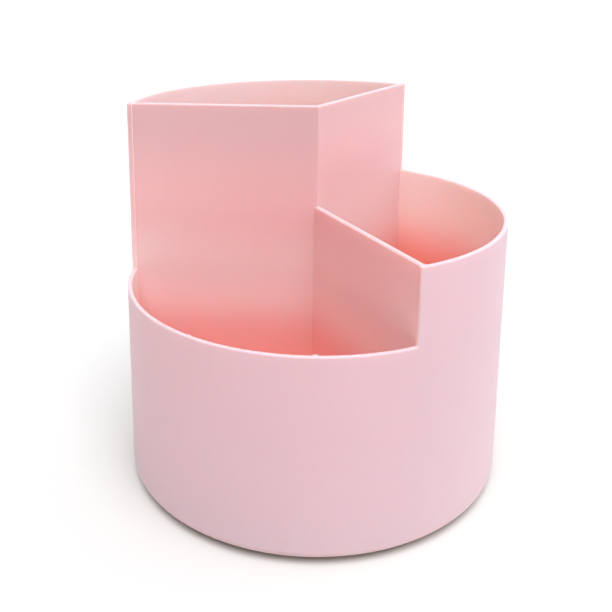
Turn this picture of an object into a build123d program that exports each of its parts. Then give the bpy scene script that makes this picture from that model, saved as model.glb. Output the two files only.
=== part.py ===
from build123d import *
import math
import os

# Rotating pen holder: a cup with three sector compartments at stepped heights, turning on a ball race over
# a low foot. Millimetres, +Z up. The origin is on the desk under the turning axis.

# Cup, outside
low_rim_radius = 58.0
low_rim_height = 62.3
mid_rim_step = 21.7  # middle rim above the low rim
tall_rim_step = 30.9  # tall rim above the middle rim
wall_lean = 1.4  # degrees that the outer wall leans in towards the rims
rim_wall = 1.26  # wall at each rim; it thickens downwards
skirt_gap = 1.8  # desk to the skirt's lower edge
skirt_round = 2.4

# Cup, compartments: each takes a third of the turn and is named by its rim
divider_top = 1.5
divider_foot = 2.1
floor_thickness = 2.4
corner_round = 0.8
floor_round_share = 0.7  # of the corner's rounding
step_land = 0.3  # stub of the outer wall that stands beside a divider above a lower rim
stub_bend = 4.0  # height over the lower rim at which a stub's inside starts to lean
step_round = 0.4
rim_round_share = 0.35  # of the thinner of rim and divider

# Ball race between cup and foot
ball_count = 12
ball_diameter = 5.0
ball_clearance = 0.25
ball_circle_share = 0.65  # of the cup's inner radius
groove_depth_share = 0.24  # of the ball's diameter
race_shoulder = 2.2
race_height = 1.3
cage_rim = 0.85
cage_clearance = 0.75

# Foot
base_plate = 2.2
base_land = 0.8
base_lip_width = 2.0
base_lip_height = 1.8
base_edge_round = 0.7
skirt_clearance = 2.5
pad_count = 4
pad_diameter = 11.0
pad_proud = 1.0
pad_pocket_depth = 0.9
pad_clearance = 0.2
pad_margin = 1.8
pad_edge_round = 0.35

# Pivot
spigot_diameter = 8.0
spigot_clearance = 0.06
pivot_play = 0.15
boss_diameter = 14.0
boss_clearance = 0.3
hub_wall = 2.8
hub_web = 2.2
washer_diameter = 15.0
washer_thickness = 1.0
washer_room = 1.2
washer_bore_clearance = 0.2
screw_diameter = 3.8
screw_clearance = 0.06
screw_cover = 1.0  # floor left above the screw's hole
screw_tip_room = 0.3
screw_tip_share = 0.3
head_diameter = 7.6
head_height = 2.0
head_inset = 0.1
head_round_share = 0.4
cross_length_share = 0.58  # of the head's diameter
cross_width_share = 0.15
cross_depth_share = 0.55  # of the head's height

# Ribs
rib_thickness = 1.6
rib_sink = 0.5  # rib ends run this far into what they join
inner_rib_count = 6
outer_rib_count = 12

overrun = 1.0  # cuts run past the faces that they open
level_near = 0.1  # edges this near a level lie on it
reach_share = 5.0  # sector cutters reach this many radii
upright_share = 0.5  # edges taller than this share of a step or room are its upright corners
seat_angle_share = 1.2  # edges within this share of a half sector from the tall one's middle adjoin it

ON_FLOOR = (Align.CENTER, Align.CENTER, Align.MIN)
ALONG_X = (Align.MIN, Align.CENTER, Align.MIN)

sector_half = 360 / 3 / 2
mid_bearing = 0
tall_bearing = mid_bearing + 2 * sector_half
low_bearing = tall_bearing + 2 * sector_half

mid_rim_height = low_rim_height + mid_rim_step
tall_rim_height = mid_rim_height + tall_rim_step


def outer_radius(height):
    return low_rim_radius + (low_rim_height - height) * math.tan(math.radians(wall_lean))


inner_radius = outer_radius(tall_rim_height) - rim_wall
base_radius = inner_radius - skirt_clearance
pad_circle_radius = base_radius - pad_margin - pad_diameter / 2
ball_circle_radius = ball_circle_share * inner_radius

base_bottom = pad_proud
plate_top = base_bottom + base_plate
land_top = plate_top + base_land

ball_radius = ball_diameter / 2
groove_radius = ball_radius + ball_clearance
groove_depth = groove_depth_share * ball_diameter
groove_half = math.sqrt(groove_depth * (2 * groove_radius - groove_depth))
race_inner = ball_circle_radius - groove_half - race_shoulder
race_outer = ball_circle_radius + groove_half + race_shoulder
ball_level = land_top - groove_depth + groove_radius
race_bottom = ball_level + groove_radius - groove_depth
floor_bottom = race_bottom + race_height
floor_top = floor_bottom + floor_thickness

head_bottom = base_bottom + head_inset
washer_bottom = head_bottom + head_height
spigot_end = washer_bottom + washer_thickness
web_bottom = spigot_end + pivot_play
hub_top = web_bottom + hub_web
boss_bottom = hub_top + boss_clearance
screw_hole_top = floor_top - screw_cover
counterbore_radius = washer_diameter / 2 + washer_room
hub_radius = counterbore_radius + hub_wall


def drum(radius, bottom, top):
    return Pos(0, 0, bottom) * Cylinder(radius, top - bottom, align=ON_FLOOR)


def ring(inner, outer, bottom, top):
    return drum(outer, bottom, top) - drum(inner, bottom - overrun, top + overrun)


def around(count, piece, first=0):
    return [Rot(0, 0, first + 360 / count * i) * piece for i in range(count)]


def ribs(count, inner, outer, bottom, top):
    length = outer - inner + 2 * rib_sink
    rib = Box(length, rib_thickness, top - bottom, align=ALONG_X)
    return around(count, Pos(inner - rib_sink, 0, bottom) * rib)


def groove():
    return Pos(0, 0, ball_level) * Torus(ball_circle_radius, groove_radius)


# One sector of a drum, set in from its dividers' middle planes (side 1) or out from them (side -1).
# Dividers thin towards the rims, so that the compartments' cores draw upwards.
def sector(bearing, radius, bottom, top, side, land):
    lean = (divider_foot - divider_top) / 2 / (tall_rim_height - floor_top)
    inset = side * (divider_top / 2 + land)
    reach = reach_share * low_rim_radius
    block = Box(reach, reach, reach, align=ON_FLOOR)
    room = drum(radius, bottom, top)
    for turn in (-1, 1):
        angle = math.radians(bearing + turn * sector_half)
        inward = Vector(turn * math.sin(angle), -turn * math.cos(angle), 0)
        seat = inward * inset + Vector(0, 0, tall_rim_height)
        face = Plane(seat, (math.cos(angle), math.sin(angle), 0), inward + Vector(0, 0, side * lean))
        room = room & (face * block)
    return room


def off_axis(edge):
    return math.hypot(edge.center().X, edge.center().Y)


def angle_from(bearing, edge):
    bearing_of_edge = math.degrees(math.atan2(edge.center().Y, edge.center().X))
    return abs((bearing_of_edge - bearing + 180) % 360 - 180)


def upright_edges(body, least):
    return body.edges().filter_by(lambda e: e.bounding_box().size.Z > least).sort_by(off_axis)


def level_edges(body, height):
    flat = body.edges().filter_by(lambda e: e.bounding_box().size.Z < level_near)
    return flat.filter_by_position(Axis.Z, height - level_near, height + level_near)


# Room of one compartment, from its floor to above the tall rim, with its corners at the outer wall rounded.
# Its radius leaves the same wall at its own rim. Further up it leans in with the outer wall.
def compartment(bearing, rim_height):
    top = tall_rim_height + overrun
    bend = rim_height + stub_bend
    wide = outer_radius(rim_height) - rim_wall
    room = drum(wide, floor_top, top)
    if rim_height < tall_rim_height:
        narrow = wide - outer_radius(bend) + outer_radius(top)
        hood = Pos(0, 0, bend) * Cone(wide, narrow, top - bend, align=ON_FLOOR)
        room = drum(wide, floor_top, bend) + hood
    room = room & sector(bearing, outer_radius(0), floor_top - overrun, top + overrun, 1, 0)
    corners = upright_edges(room, mid_rim_step * upright_share)[1:]
    room = fillet(corners, corner_round)
    return fillet(room.edges().group_by(Axis.Z)[0], floor_round_share * corner_round)


# The outer wall is cut away above the low and the middle rim, up to a short stub beside the taller dividers.
def rim_steps():
    top = tall_rim_height + overrun
    below = mid_rim_height - overrun
    wide = outer_radius(0)
    core = divider_foot + 2 * step_land
    low_cut = sector(low_bearing, wide, low_rim_height, top, 1, step_land)
    tall_side = sector(tall_bearing, wide + overrun, below, top + overrun, -1, step_land)
    tall_core = sector(tall_bearing, wide, below, top + overrun, -1, 0)
    mid_cut = drum(wide, mid_rim_height, top) - tall_side
    core_cut = drum(core, mid_rim_height, top) - tall_core
    return [low_cut, mid_cut, core_cut]


def by_tall(edge):
    return angle_from(tall_bearing, edge) < seat_angle_share * sector_half


# Inner corners where a lower rim runs up against the end of a taller wall.
def step_seats(body):
    longest = 2 * (low_rim_radius - inner_radius)
    seats = level_edges(body, low_rim_height) + level_edges(body, mid_rim_height).filter_by(by_tall)
    seats = seats.filter_by(GeomType.LINE).filter_by(lambda e: e.length < longest)
    return seats.filter_by(lambda e: off_axis(e) > inner_radius)


# Every free rim edge, and the upright corners of the walls and dividers that stand above a lower rim.
def free_edges(body):
    core = divider_foot + 2 * step_land
    corners = upright_edges(body, mid_rim_step * upright_share)
    corners = corners.filter_by(lambda e: e.bounding_box().min.Z > low_rim_height - rim_wall)
    low = level_edges(body, low_rim_height).filter_by(lambda e: e.length > low_rim_radius * upright_share)
    mid = level_edges(body, mid_rim_height).filter_by(lambda e: off_axis(e) > core)
    mid = mid.filter_by(lambda e: not by_tall(e))
    return corners + low + mid + level_edges(body, tall_rim_height)


def rounded_rims(body):
    body = fillet(step_seats(body), step_round)
    return fillet(free_edges(body), rim_round_share * min(rim_wall, divider_top))


# Under the floor: the upper ball race, the pivot's boss and spigot, and ribs from boss to race to skirt.
def underside():
    pieces = [ring(race_inner, race_outer, race_bottom, floor_bottom)]
    pieces += [drum(boss_diameter / 2, boss_bottom, floor_bottom)]
    pieces += [drum(spigot_diameter / 2, spigot_end, floor_bottom)]
    pieces += ribs(inner_rib_count, boss_diameter / 2, race_inner, boss_bottom, floor_bottom)
    pieces += ribs(outer_rib_count, race_outer, inner_radius, race_bottom, floor_bottom)
    return pieces


def cup_body():
    height = tall_rim_height - skirt_gap
    body = Cone(outer_radius(skirt_gap), outer_radius(tall_rim_height), height, align=ON_FLOOR)
    body = Pos(0, 0, skirt_gap) * fillet(body.edges().group_by(Axis.Z)[0], skirt_round)
    rooms = [compartment(low_bearing, low_rim_height), compartment(mid_bearing, mid_rim_height)]
    body = body - rooms - compartment(tall_bearing, tall_rim_height)
    body = rounded_rims(body - rim_steps())
    body = body - drum(inner_radius, skirt_gap - overrun, floor_bottom)
    body = body + underside()
    screw_hole = drum(screw_diameter / 2 + screw_clearance, spigot_end - overrun, screw_hole_top)
    return body - groove() - screw_hole


def base_disc():
    middle = base_bottom + base_plate / 2
    body = drum(base_radius, base_bottom, plate_top)
    body = fillet(body.edges().group_by(Axis.Z)[0], base_edge_round)
    body = body + ring(race_inner, race_outer, middle, land_top)
    body = body + ring(base_radius - base_lip_width, base_radius, middle, plate_top + base_lip_height)
    body = body + drum(hub_radius, base_bottom, hub_top)
    body = body + ribs(inner_rib_count, hub_radius, race_inner, middle, land_top)
    body = body + ribs(outer_rib_count, race_outer, base_radius - base_lip_width, middle, land_top)
    pocket = drum(pad_diameter / 2 + pad_clearance, base_bottom - overrun, base_bottom + pad_pocket_depth)
    body = body - around(pad_count, Pos(pad_circle_radius, 0, 0) * pocket, 180 / pad_count)
    body = body - drum(counterbore_radius, base_bottom - overrun, web_bottom)
    body = body - drum(spigot_diameter / 2 + spigot_clearance, web_bottom - overrun, hub_top + overrun)
    return body - groove()


def foot_pads():
    pad = drum(pad_diameter / 2, 0, pad_proud + pad_pocket_depth)
    pad = fillet(pad.edges().group_by(Axis.Z)[0], pad_edge_round)
    return around(pad_count, Pos(pad_circle_radius, 0, 0) * pad, 180 / pad_count)


def ball_cage():
    bottom = land_top + cage_clearance
    top = race_bottom - cage_clearance
    half = groove_radius + cage_rim
    cage = ring(ball_circle_radius - half, ball_circle_radius + half, bottom, top)
    pocket = drum(groove_radius, bottom - overrun, top + overrun)
    return cage - around(ball_count, Pos(ball_circle_radius, 0, 0) * pocket)


def bearing_balls():
    return around(ball_count, Pos(ball_circle_radius, 0, ball_level) * Sphere(ball_radius))


def pivot_washer():
    return ring(screw_diameter / 2 + washer_bore_clearance, washer_diameter / 2, washer_bottom, spigot_end)


def pivot_screw():
    head = drum(head_diameter / 2, head_bottom, washer_bottom)
    head = fillet(head.edges().group_by(Axis.Z)[0], head_round_share * head_height)
    arm = Box(cross_length_share * head_diameter, cross_width_share * head_diameter,
              cross_depth_share * head_height + overrun, align=ON_FLOOR)
    arm = Pos(0, 0, head_bottom - overrun) * arm
    head = head - arm - Rot(0, 0, 90) * arm
    shank = drum(screw_diameter / 2, washer_bottom, screw_hole_top - screw_tip_room)
    shank = chamfer(shank.edges().group_by(Axis.Z)[-1], screw_tip_share * screw_diameter)
    return head + shank


def main():
    nodes = {"cup_body": cup_body(), "base_disc": base_disc(), "ball_cage": ball_cage()}
    nodes["pivot_washer"] = pivot_washer()
    nodes["pivot_screw"] = pivot_screw()
    for number, ball in enumerate(bearing_balls(), 1):
        nodes[f"bearing_ball_{number:02d}"] = ball
    for number, pad in enumerate(foot_pads(), 1):
        nodes[f"foot_pad_{number}"] = pad
    os.makedirs("parts", exist_ok=True)
    for name, node in nodes.items():
        node.label = name
        export_step(node, f"parts/{name}.step")


main()
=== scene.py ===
import math
import bpy
from mathutils import Matrix, Vector


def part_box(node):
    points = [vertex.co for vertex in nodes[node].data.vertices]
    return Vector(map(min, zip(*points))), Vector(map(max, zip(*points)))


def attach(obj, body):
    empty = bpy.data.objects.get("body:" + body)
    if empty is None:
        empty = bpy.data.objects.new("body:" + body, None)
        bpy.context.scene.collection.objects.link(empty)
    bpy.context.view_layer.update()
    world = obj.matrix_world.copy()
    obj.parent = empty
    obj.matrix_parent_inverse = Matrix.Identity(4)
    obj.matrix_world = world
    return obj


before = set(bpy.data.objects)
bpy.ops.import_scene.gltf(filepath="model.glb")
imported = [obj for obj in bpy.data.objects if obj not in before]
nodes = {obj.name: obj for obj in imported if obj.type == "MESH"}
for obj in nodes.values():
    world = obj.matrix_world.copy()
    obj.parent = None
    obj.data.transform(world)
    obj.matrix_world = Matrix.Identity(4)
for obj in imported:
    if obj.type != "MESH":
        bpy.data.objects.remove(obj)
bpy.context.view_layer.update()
mm = 0.001


# sRGB hex to linear
def tint(hexColour):
    parts = [int(hexColour[i:i + 2], 16) / 255 for i in (1, 3, 5)]
    return [c / 12.92 if c <= 0.04045 else ((c + 0.055) / 1.055) ** 2.4 for c in parts] + [1]


# one node with its settings and links; a number names an input by its place
def addNode(tree, kind, settings, links=()):
    node = tree.nodes.new(kind)
    for key, value in settings.items():
        if isinstance(key, str) and hasattr(node, key):
            setattr(node, key, value)
        else:
            node.inputs[key].default_value = value
    for key, socket in dict(links).items():
        tree.links.new(socket, node.inputs[key])
    return node


def newMaterial(name, settings):
    material = bpy.data.materials.new(name)
    material.use_nodes = True
    tree = material.node_tree
    tree.nodes.clear()
    shader = addNode(tree, "ShaderNodeBsdfPrincipled", settings)
    addNode(tree, "ShaderNodeOutputMaterial", {}, {"Surface": shader.outputs[0]})
    place = addNode(tree, "ShaderNodeTexCoord", {})
    return material, tree, shader, place


def dress(material, *names):
    for name in names:
        nodes[name].data.materials.clear()
        nodes[name].data.materials.append(material)


# a colour by depth, eased from stop to stop
def depthRamp(tree, depth, stops):
    first, last = stops[0][0], stops[-1][0]
    share = addNode(tree, "ShaderNodeMapRange", {1: first, 2: last}, {0: depth})
    ramp = addNode(tree, "ShaderNodeValToRGB", {}, {0: share.outputs[0]})
    ramp.color_ramp.interpolation = "EASE"
    steps = ramp.color_ramp.elements
    for stop, hexColour in stops[1:-1]:
        steps.new((stop - first) / (last - first)).color = tint(hexColour)
    steps[0].color = tint(stops[0][1])
    steps[-1].color = tint(stops[-1][1])
    return ramp.outputs[0]


# fine grain of a sparked mould: gloss and bump
def sparkSkin(tree, shader, where, spec):
    grain = addNode(tree, "ShaderNodeTexNoise", {"Scale": 1 / spec["grainWidth"], "Detail": 2},
                    {"Vector": where})
    low, high = spec["roughness"]
    gloss = addNode(tree, "ShaderNodeMapRange", {"To Min": low, "To Max": high}, {0: grain.outputs[0]})
    tree.links.new(gloss.outputs[0], shader.inputs["Roughness"])
    bump = addNode(tree, "ShaderNodeBump", {"Strength": 1, "Distance": spec["grainDepth"]},
                   {"Height": grain.outputs[0]})
    tree.links.new(bump.outputs[0], shader.inputs["Normal"])


# the wave texture runs through 20 radians in each unit
def waveScale(pitch):
    return 2 * math.pi / 20 / pitch


# Polypropylene, injection moulded in a finely sparked mould: satin and evenly pigmented. Inside the
# compartments the colour carries painted light and shade: pale at the rims and coral further down, as light
# that gets through the thin walls and goes from wall to wall would make them. Rims that pens rub on turn
# pale.
cupPolypropylene = {
    "shader": {"IOR": 1.49, "Subsurface Weight": 0.8, "Subsurface Radius": (1.0, 0.6, 0.5),
               "Subsurface Scale": 4 * mm},
    "outside": "#D9BABA",
    # by depth below the level: painted light, paler about the level where light from the opening falls, and
    # painted shade, darker high above it
    "divider": ((-52 * mm, "#D7B3AE"), (-20 * mm, "#EEBCB5"), (0, "#F9D2C8"), (9 * mm, "#FAD4CA"),
                (22 * mm, "#EEBCB5")),
    # painted light: the outer wall's inner side is pale near the rims
    "wallTopPaintedLight": "#FEDED6",
    # painted shade: coral deep in the compartments, on the dividers and on the outer wall's inner side
    "deepPaintedShade": "#F7A48D",
    "wallDeepPaintedShade": "#F49E84",
    "fade": 46 * mm,  # below the level, where the painted shade on the dividers is full
    # the same for the painted shade on the outer wall's inner side
    "wallFade": 26 * mm,
    "floorPaintedShadeShare": 0.55,  # painted light: the floors face the light and get only this share of the painted shade, so they stay paler
    "wallPaintedGlow": 4 * mm,  # painted light: the outer wall's inner side stays pale this much further down
    # where the painted shade starts to deepen: at the rim, but lower in the middle compartment, which faces
    # the light and gets more painted light
    "paintedShadeLevels": {"low": 62.3 * mm, "mid": 75 * mm, "tall": 114.9 * mm},
    "insideAbove": 10.5 * mm,  # the floors lie just above
    "wallTurn": 28 * mm,  # half of the wall's radius
    "cloudShade": 0.96,
    "cloudWidth": 34 * mm,
    "grainWidth": 0.45 * mm,  # the real grain is near 0.1 mm; drawn this coarse so that it shows
    "grainDepth": 0.006 * mm,
    "roughness": (0.40, 0.52),
    "rubbed": "#D8B3AB",
    "rubbedAbove": 60 * mm,  # the compartments' floors also face up, but lie lower
    "rubbedFacing": (0.35, 0.95),  # upward share of the normal, from bare to rubbed
    "scuffWidth": 1.6 * mm,
    "scuffRange": (0.1, 0.7),
}


def makeCupPolypropylene():
    spec = cupPolypropylene
    material, tree, shader, place = newMaterial("cupPolypropylene", spec["shader"])
    where = place.outputs["Object"]
    x, y, z = addNode(tree, "ShaderNodeSeparateXYZ", {}, {0: where}).outputs
    flat = addNode(tree, "ShaderNodeVectorMath", {"operation": "MULTIPLY", 1: (1, 1, 0)}, {0: where})
    radius = addNode(tree, "ShaderNodeVectorMath", {"operation": "LENGTH"}, {0: flat.outputs[0]}).outputs[1]

    # how far a point lies below the painted shade's level of its own third of the turn (about +X, x is over r
    # / 2)
    third = addNode(tree, "ShaderNodeMath", {"operation": "MULTIPLY", 1: 0.5}, {0: radius})
    inMid = addNode(tree, "ShaderNodeMath", {"operation": "GREATER_THAN"}, {0: x, 1: third.outputs[0]})
    inTall = addNode(tree, "ShaderNodeMath", {"operation": "GREATER_THAN", 1: 0}, {0: y})
    paintedShadeLevels = spec["paintedShadeLevels"]
    level = addNode(tree, "ShaderNodeMix", {2: paintedShadeLevels["low"], 3: paintedShadeLevels["tall"]}, {0: inTall.outputs[0]})
    level = addNode(tree, "ShaderNodeMix", {3: paintedShadeLevels["mid"]}, {0: inMid.outputs[0], 2: level.outputs[0]})
    below = addNode(tree, "ShaderNodeMath", {"operation": "SUBTRACT"},
                    {0: level.outputs[0], 1: z}).outputs[0]

    # the outer wall's two sides face away from the axis and towards it
    outward = addNode(tree, "ShaderNodeVectorMath", {"operation": "DOT_PRODUCT"},
                      {0: place.outputs["Normal"], 1: flat.outputs[0]}).outputs[1]
    wall = addNode(tree, "ShaderNodeMath", {"operation": "LESS_THAN", 1: -spec["wallTurn"]}, {0: outward})
    faced = addNode(tree, "ShaderNodeMath", {"operation": "LESS_THAN", 1: spec["wallTurn"]}, {0: outward})
    raised = addNode(tree, "ShaderNodeMath", {"operation": "GREATER_THAN", 1: spec["insideAbove"]}, {0: z})
    inner = addNode(tree, "ShaderNodeMath", {"operation": "MULTIPLY"},
                    {0: faced.outputs[0], 1: raised.outputs[0]})

    # painted light reaches further down on the outer wall's inner side
    reach = addNode(tree, "ShaderNodeMath", {"operation": "MULTIPLY_ADD", 1: -spec["wallPaintedGlow"]},
                    {0: wall.outputs[0], 2: below})
    facing = addNode(tree, "ShaderNodeSeparateXYZ", {}, {0: place.outputs["Normal"]}).outputs[2]
    # painted light on the floors: the more a face looks up, the less painted shade it gets
    deepest = addNode(tree, "ShaderNodeMapRange", {3: 1, 4: spec["floorPaintedShadeShare"]}, {0: facing})
    fade = addNode(tree, "ShaderNodeMix", {2: spec["fade"], 3: spec["wallFade"]}, {0: wall.outputs[0]})
    # painted shade: how much of the coral painted shade a point gets, by depth below the level
    deepPaintedShade = addNode(tree, "ShaderNodeMapRange", {"interpolation_type": "SMOOTHSTEP"},
                   {0: reach.outputs[0], 2: fade.outputs[0], 4: deepest.outputs[0]})
    # painted light and shade on the dividers, by depth below the level
    divider = depthRamp(tree, below, spec["divider"])
    # painted light near the rims, painted shade deep down, mixed by depth below the level
    paintedLightTint = addNode(tree, "ShaderNodeMix", {"data_type": "RGBA", 7: tint(spec["wallTopPaintedLight"])},
                      {0: wall.outputs[0], 6: divider})
    paintedShadeTint = addNode(tree, "ShaderNodeMix", {
        "data_type": "RGBA", 6: tint(spec["deepPaintedShade"]), 7: tint(spec["wallDeepPaintedShade"])}, {0: wall.outputs[0]})
    inside = addNode(tree, "ShaderNodeMix", {"data_type": "RGBA"},
                     {0: deepPaintedShade.outputs[0], 6: paintedLightTint.outputs[2], 7: paintedShadeTint.outputs[2]})
    side = addNode(tree, "ShaderNodeMix", {"data_type": "RGBA", 6: tint(spec["outside"])},
                   {0: inner.outputs[0], 7: inside.outputs[2]})
    cloud = addNode(tree, "ShaderNodeTexNoise", {
        "Scale": 1 / spec["cloudWidth"], "Detail": 3, "Roughness": 0.55}, {"Vector": where})
    shade = addNode(tree, "ShaderNodeMapRange", {"To Min": spec["cloudShade"], "To Max": 1},
                    {0: cloud.outputs[0]})
    colour = addNode(tree, "ShaderNodeMix", {"data_type": "RGBA", "blend_type": "MULTIPLY", 0: 1},
                     {6: side.outputs[2], 7: shade.outputs[0]})

    # rubbed rims face up
    bare, rubbed = spec["rubbedFacing"]
    upward = addNode(tree, "ShaderNodeMapRange", {1: bare, 2: rubbed}, {0: facing})
    high = addNode(tree, "ShaderNodeMath", {"operation": "GREATER_THAN", 1: spec["rubbedAbove"]}, {0: z})
    scuff = addNode(tree, "ShaderNodeTexNoise", {"Scale": 1 / spec["scuffWidth"], "Detail": 3},
                    {"Vector": where})
    least, most = spec["scuffRange"]
    rub = addNode(tree, "ShaderNodeMapRange", {1: least, 2: most}, {0: scuff.outputs[0]})
    rimTop = addNode(tree, "ShaderNodeMath", {"operation": "MULTIPLY"},
                     {0: upward.outputs[0], 1: high.outputs[0]})
    worn = addNode(tree, "ShaderNodeMath", {"operation": "MULTIPLY"},
                   {0: rimTop.outputs[0], 1: rub.outputs[0]})
    pale = addNode(tree, "ShaderNodeMix", {"data_type": "RGBA", 7: tint(spec["rubbed"])},
                   {0: worn.outputs[0], 6: colour.outputs[2]})
    tree.links.new(pale.outputs[2], shader.inputs["Base Color"])

    sparkSkin(tree, shader, where, spec)
    return material


# Polypropylene in the same pink, from a duller mould: matt, with a faint swirl where the plastic flowed in.
footPolypropylene = {
    "shader": {"IOR": 1.49, "Subsurface Weight": 0.5, "Subsurface Radius": (1.0, 0.6, 0.5),
               "Subsurface Scale": 3 * mm},
    "pigment": "#E2BEBE",
    "swirl": "#DAB2B1",
    "swirlWidth": 11 * mm,
    "grainWidth": 0.6 * mm,  # the real grain is near 0.15 mm; drawn this coarse so that it shows
    "grainDepth": 0.012 * mm,
    "roughness": (0.5, 0.64),
}


def makeFootPolypropylene():
    spec = footPolypropylene
    material, tree, shader, place = newMaterial("footPolypropylene", spec["shader"])
    where = place.outputs["Object"]
    swirl = addNode(tree, "ShaderNodeTexNoise", {
        "Scale": 1 / spec["swirlWidth"], "Detail": 4, "Distortion": 1.5}, {"Vector": where})
    colour = addNode(tree, "ShaderNodeMix", {
        "data_type": "RGBA", 6: tint(spec["pigment"]), 7: tint(spec["swirl"])}, {0: swirl.outputs[0]})
    tree.links.new(colour.outputs[2], shader.inputs["Base Color"])
    sparkSkin(tree, shader, where, spec)
    return material


# Acetal, unpigmented and moulded: waxy off-white, a little see-through at thin edges, smooth with faint flow
# streaks.
cageAcetal = {
    "shader": {"IOR": 1.48, "Subsurface Weight": 0.3, "Subsurface Radius": (1.0, 0.9, 0.8),
               "Subsurface Scale": 1 * mm},
    "body": "#F0ECDF",
    "streak": "#E4DECD",
    "streakWidth": 4 * mm,
    "roughness": (0.3, 0.42),
}


def makeCageAcetal():
    spec = cageAcetal
    material, tree, shader, place = newMaterial("cageAcetal", spec["shader"])
    where = place.outputs["Object"]
    streak = addNode(tree, "ShaderNodeTexNoise", {
        "Scale": 1 / spec["streakWidth"], "Detail": 4, "Distortion": 2}, {"Vector": where})
    colour = addNode(tree, "ShaderNodeMix", {
        "data_type": "RGBA", 6: tint(spec["body"]), 7: tint(spec["streak"])}, {0: streak.outputs[0]})
    tree.links.new(colour.outputs[2], shader.inputs["Base Color"])
    low, high = spec["roughness"]
    gloss = addNode(tree, "ShaderNodeMapRange", {"To Min": low, "To Max": high}, {0: streak.outputs[0]})
    tree.links.new(gloss.outputs[0], shader.inputs["Roughness"])
    return material


# Chrome steel, hardened and lapped: a dark mirror, dulled in patches by a film of oil.
ballChromeSteel = {
    "steel": "#C4C6C9",
    "oilWidth": 1.4 * mm,
    "oilRange": (0.35, 0.7),
    "roughness": (0.05, 0.16),
    "lapWidth": 0.12 * mm,  # lapping lines are near 0.01 mm; drawn this coarse so that they show
    "lapDepth": 0.0005 * mm,
}


def makeBallChromeSteel():
    spec = ballChromeSteel
    material, tree, shader, place = newMaterial("ballChromeSteel", {
        "Metallic": 1, "Base Color": tint(spec["steel"])})
    where = place.outputs["Object"]
    oil = addNode(tree, "ShaderNodeTexNoise", {"Scale": 1 / spec["oilWidth"], "Detail": 3},
                  {"Vector": where})
    low, high = spec["roughness"]
    dry, wet = spec["oilRange"]
    gloss = addNode(tree, "ShaderNodeMapRange", {1: dry, 2: wet, "To Min": low, "To Max": high},
                    {0: oil.outputs[0]})
    tree.links.new(gloss.outputs[0], shader.inputs["Roughness"])
    lap = addNode(tree, "ShaderNodeTexNoise", {"Scale": 1 / spec["lapWidth"]}, {"Vector": where})
    bump = addNode(tree, "ShaderNodeBump", {"Strength": 1, "Distance": spec["lapDepth"]},
                   {"Height": lap.outputs[0]})
    tree.links.new(bump.outputs[0], shader.inputs["Normal"])
    return material


# Zinc plate with clear passivation on steel: soft grey shine, straw tint in patches, rings left by turning or
# stamping.
zincPlate = {
    "zinc": "#C3C6C8",
    "straw": "#CFC9B4",
    "strawWidth": 2.5 * mm,
    "strawRange": (0.45, 0.7),
    "ringPitch": 0.3 * mm,
    "ringDepth": 0.003 * mm,
    "roughness": (0.24, 0.42),
}


def makeZincPlate():
    spec = zincPlate
    material, tree, shader, place = newMaterial("zincPlate", {"Metallic": 1})
    where = place.outputs["Object"]
    straw = addNode(tree, "ShaderNodeTexNoise", {"Scale": 1 / spec["strawWidth"], "Detail": 4},
                    {"Vector": where})
    least, most = spec["strawRange"]
    patch = addNode(tree, "ShaderNodeMapRange", {1: least, 2: most}, {0: straw.outputs[0]})
    colour = addNode(tree, "ShaderNodeMix", {
        "data_type": "RGBA", 6: tint(spec["zinc"]), 7: tint(spec["straw"])}, {0: patch.outputs[0]})
    tree.links.new(colour.outputs[2], shader.inputs["Base Color"])
    low, high = spec["roughness"]
    gloss = addNode(tree, "ShaderNodeMapRange", {"To Min": low, "To Max": high}, {0: straw.outputs[0]})
    tree.links.new(gloss.outputs[0], shader.inputs["Roughness"])
    rings = addNode(tree, "ShaderNodeTexWave", {
        "wave_type": "RINGS", "rings_direction": "Z", "Scale": waveScale(spec["ringPitch"]),
        "Distortion": 1}, {0: where})
    bump = addNode(tree, "ShaderNodeBump", {"Strength": 1, "Distance": spec["ringDepth"]},
                   {"Height": rings.outputs[1]})
    tree.links.new(bump.outputs[0], shader.inputs["Normal"])
    return material


# Thermoplastic rubber, moulded with grip rings: mid grey, dull, paler where desk dust has stuck to it.
padRubber = {
    "rubber": "#7F7B7C",
    "dust": "#A7A19F",
    "dustWidth": 2 * mm,
    "dustRange": (0.5, 0.75),
    "ringPitch": 1.1 * mm,
    "ringDepth": 0.12 * mm,
    "roughness": (0.72, 0.9),
}


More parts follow.
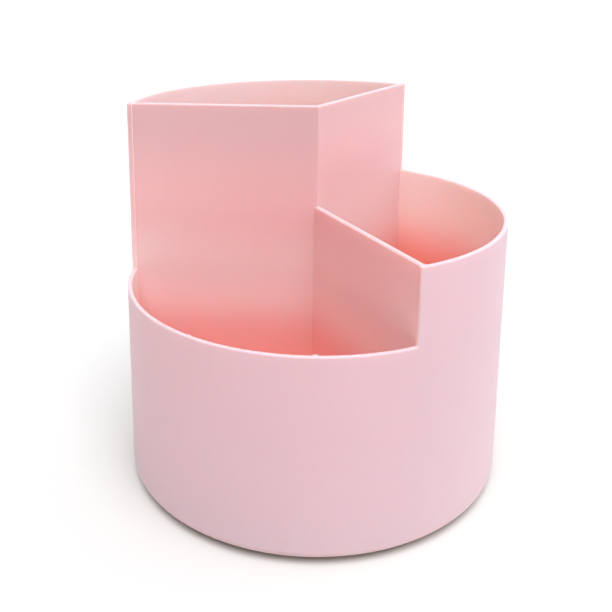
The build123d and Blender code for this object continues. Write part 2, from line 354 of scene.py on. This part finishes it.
def makePadRubber():
    spec = padRubber
    material, tree, shader, place = newMaterial("padRubber", {"IOR": 1.5})
    where = place.outputs["Object"]
    dust = addNode(tree, "ShaderNodeTexNoise", {"Scale": 1 / spec["dustWidth"], "Detail": 5},
                   {"Vector": where})
    clean, dusty = spec["dustRange"]
    stuck = addNode(tree, "ShaderNodeMapRange", {1: clean, 2: dusty}, {0: dust.outputs[0]})
    colour = addNode(tree, "ShaderNodeMix", {
        "data_type": "RGBA", 6: tint(spec["rubber"]), 7: tint(spec["dust"])}, {0: stuck.outputs[0]})
    tree.links.new(colour.outputs[2], shader.inputs["Base Color"])
    low, high = spec["roughness"]
    gloss = addNode(tree, "ShaderNodeMapRange", {"To Min": low, "To Max": high}, {0: dust.outputs[0]})
    tree.links.new(gloss.outputs[0], shader.inputs["Roughness"])
    # the four pads lie alike about both axes, so one centre serves them all
    lowest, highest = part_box("foot_pad_1")
    centre = (abs(lowest[0] + highest[0]) / 2, abs(lowest[1] + highest[1]) / 2, 0)
    quarter = addNode(tree, "ShaderNodeVectorMath", {"operation": "ABSOLUTE"}, {0: where})
    local = addNode(tree, "ShaderNodeVectorMath", {"operation": "SUBTRACT", 1: centre},
                    {0: quarter.outputs[0]})
    rings = addNode(tree, "ShaderNodeTexWave", {
        "wave_type": "RINGS", "rings_direction": "Z", "Scale": waveScale(spec["ringPitch"])},
        {0: local.outputs[0]})
    bump = addNode(tree, "ShaderNodeBump", {"Strength": 1, "Distance": spec["ringDepth"]},
                   {"Height": rings.outputs[1]})
    tree.links.new(bump.outputs[0], shader.inputs["Normal"])
    return material


cupPink = makeCupPolypropylene()
footPink = makeFootPolypropylene()
dress(cupPink, "cup_body")
dress(footPink, "base_disc")
dress(makeCageAcetal(), "ball_cage")
dress(makeBallChromeSteel(), *[name for name in nodes if name.startswith("bearing_ball")])
dress(makeZincPlate(), "pivot_washer", "pivot_screw")
dress(makePadRubber(), *[name for name in nodes if name.startswith("foot_pad")])
print("materials:", len({n.data.materials[0].name for n in nodes.values()}), "on", len(nodes), "nodes")


smoothUnder = 40  # degrees


def selectFaces(piece, test):
    bpy.ops.object.mode_set(mode="OBJECT")
    for part in (piece.data.vertices, piece.data.edges, piece.data.polygons):
        part.foreach_set("select", [False] * len(part))
    for face in piece.data.polygons:
        face.select = test(face)
    bpy.ops.object.mode_set(mode="EDIT")
    bpy.ops.mesh.select_mode(type="FACE")


def finishPiece(piece, name, material, body):
    bpy.ops.mesh.select_all(action="SELECT")
    bpy.ops.mesh.normals_make_consistent(inside=False)
    bpy.ops.object.mode_set(mode="OBJECT")
    bpy.ops.object.shade_smooth_by_angle(angle=math.radians(smoothUnder))
    piece.name = name
    piece.data.materials.append(material)
    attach(piece, body)


# specks of flash that the mould left on the low rim's inner edge
rimFlash = {
    "radius": 56.6 * mm,
    "level": 61.95 * mm,
    "facets": 3,
    "rough": 0.05 * mm,
    "specks": ({"bearing": 271.8, "size": (1.0 * mm, 1.9 * mm, 0.9 * mm)},
               {"bearing": 236.1, "size": (0.8 * mm, 0.9 * mm, 0.6 * mm)}),
}


def makeRimFlash():
    for number, speck in enumerate(rimFlash["specks"], 1):
        turn = math.radians(speck["bearing"])
        radius = rimFlash["radius"]
        place = (radius * math.cos(turn), radius * math.sin(turn), rimFlash["level"])
        bpy.ops.object.select_all(action="DESELECT")
        bpy.ops.mesh.primitive_ico_sphere_add(subdivisions=rimFlash["facets"], radius=0.5, location=place,
                                              rotation=(0, 0, turn), scale=speck["size"])
        piece = bpy.context.object
        bpy.ops.object.transform_apply(location=True, rotation=True, scale=True)
        bpy.ops.object.mode_set(mode="EDIT")
        bpy.ops.mesh.select_all(action="SELECT")
        bpy.ops.transform.vertex_random(offset=rimFlash["rough"], seed=number)
        bpy.ops.mesh.vertices_smooth(factor=0.5, repeat=2)
        bpy.ops.mesh.subdivide(number_cuts=1, smoothness=1)
        finishPiece(piece, f"rimFlash_{number}", cupPink, "cup")


makeRimFlash()
print("flash:", len(rimFlash["specks"]), "specks on the low rim")


# the broken-off stub of the gate under the foot
gateStub = {
    "place": (0, 16 * mm),
    "under": 1.0 * mm,
    "width": 2.6 * mm,
    "proud": 0.25 * mm,
    "sides": 32,
    "nib": 0.45,
    "nibProud": 0.2 * mm,
    "nibTaper": (0.8, 0.7, 1),
    "nibLean": 9,  # degrees
}


def makeGateStub():
    depth = gateStub["proud"] * 2
    place = (*gateStub["place"], gateStub["under"])
    bpy.ops.object.select_all(action="DESELECT")
    bpy.ops.mesh.primitive_cylinder_add(vertices=gateStub["sides"], radius=gateStub["width"] / 2, depth=depth,
                                        location=place)
    piece = bpy.context.object
    bpy.ops.object.transform_apply(location=True)
    selectFaces(piece, lambda face: face.normal.z < -0.9)
    bpy.ops.mesh.inset(thickness=gateStub["width"] / 2 * (1 - gateStub["nib"]))
    bpy.ops.mesh.extrude_region_move(TRANSFORM_OT_translate={"value": (0, 0, -gateStub["nibProud"])})
    bpy.ops.transform.resize(value=gateStub["nibTaper"])
    bpy.ops.transform.rotate(value=math.radians(gateStub["nibLean"]), orient_axis="X", center_override=place)
    finishPiece(piece, "gateStub", footPink, "foot")


makeGateStub()
print("gate: stub under the foot")


studio = {
    "daylight": (0.88, 0.92, 1.1),  # cool lamps, as the outer wall shows
    "tent": (0.1, 1.42),
    "tentBright": (0.75, 0.62, 0.1),
    "floorWidth": 14,
    "floorDrop": 0.05 * mm,  # keeps it apart from the pads' lower faces
    "floor": (0.69, 0.66, 0.552),  # warm white paper, neutral under the cool lamps
    "floorRoughness": 0.9,
    "overheadFrom": (0.07, -0.5, 1.25),
    "overheadSpread": 50,
    "overheadStrength": 3.3,
}


def makeStudio():
    bpy.ops.mesh.primitive_plane_add(size=studio["floorWidth"], location=(0, 0, -studio["floorDrop"]))
    floor = bpy.context.object
    floor.name = "studioFloor"
    material, tree, shader, place = newMaterial("floorPaper", {
        "Base Color": (*studio["floor"], 1), "Roughness": studio["floorRoughness"]})
    floor.data.materials.append(material)
    world = bpy.data.worlds.new("softTent")
    world.use_nodes = True
    tree = world.node_tree
    background = tree.nodes["Background"]
    background.inputs["Color"].default_value = (*studio["daylight"], 1)
    direction = addNode(tree, "ShaderNodeTexCoord", {})
    bright = Vector(studio["tentBright"]).normalized()
    toBright = addNode(tree, "ShaderNodeVectorMath", {"operation": "DOT_PRODUCT", 1: bright},
                       {0: direction.outputs["Generated"]})
    low, high = studio["tent"]
    glow = addNode(tree, "ShaderNodeMapRange", {"From Min": -1, "To Min": low, "To Max": high},
                   {0: toBright.outputs[1]})
    tree.links.new(glow.outputs[0], background.inputs["Strength"])
    # the paper sweep that the camera sees is white all round
    sweep = addNode(tree, "ShaderNodeBackground", {"Color": (1, 1, 1, 1)})
    seen = addNode(tree, "ShaderNodeLightPath", {})
    both = addNode(tree, "ShaderNodeMixShader", {}, {
        0: seen.outputs["Is Camera Ray"], 1: background.outputs[0], 2: sweep.outputs[0]})
    tree.links.new(both.outputs[0], tree.nodes["World Output"].inputs["Surface"])
    bpy.context.scene.world = world
    bpy.ops.object.light_add(type="SUN", location=studio["overheadFrom"])
    overhead = bpy.context.object
    overhead.name = "overhead"
    overhead.data.energy = studio["overheadStrength"]
    overhead.data.angle = math.radians(studio["overheadSpread"])
    overhead.data.color = studio["daylight"]
    overhead.rotation_euler = (-Vector(studio["overheadFrom"])).to_track_quat("-Z", "Y").to_euler()


makeStudio()

# set from the photograph: rims, corners and outline
camera = {
    "place": (6.41 * mm, -239.14 * mm, 156.29 * mm),
    "bearing": -2.282,
    "tilt": 18.655,
    "roll": 0.556,
    "lens": 47.84,
    "sensor": 36,
    "shift": -0.1209,
    "nearest": 10 * mm,
}


def makeCamera():
    bearing, tilt, roll = (math.radians(camera[k]) for k in ("bearing", "tilt", "roll"))
    level = math.cos(tilt)
    forward = Vector((math.sin(bearing) * level, math.cos(bearing) * level, -math.sin(tilt)))
    right = Vector((math.cos(bearing), -math.sin(bearing), 0))
    up = right.cross(forward)
    across = math.cos(roll) * right + math.sin(roll) * up
    bpy.ops.object.camera_add(location=camera["place"])
    view = bpy.context.object
    view.matrix_world = Matrix.Translation(camera["place"]) @ Matrix(
        (across, (-forward).cross(across), -forward)).transposed().to_4x4()
    view.data.lens = camera["lens"]
    view.data.sensor_width = camera["sensor"]
    view.data.shift_y = camera["shift"]
    view.data.clip_start = camera["nearest"]
    bpy.context.scene.camera = view


makeCamera()
bpy.context.scene.view_settings.view_transform = "Standard"
print("camera: lens", camera["lens"], "mm")
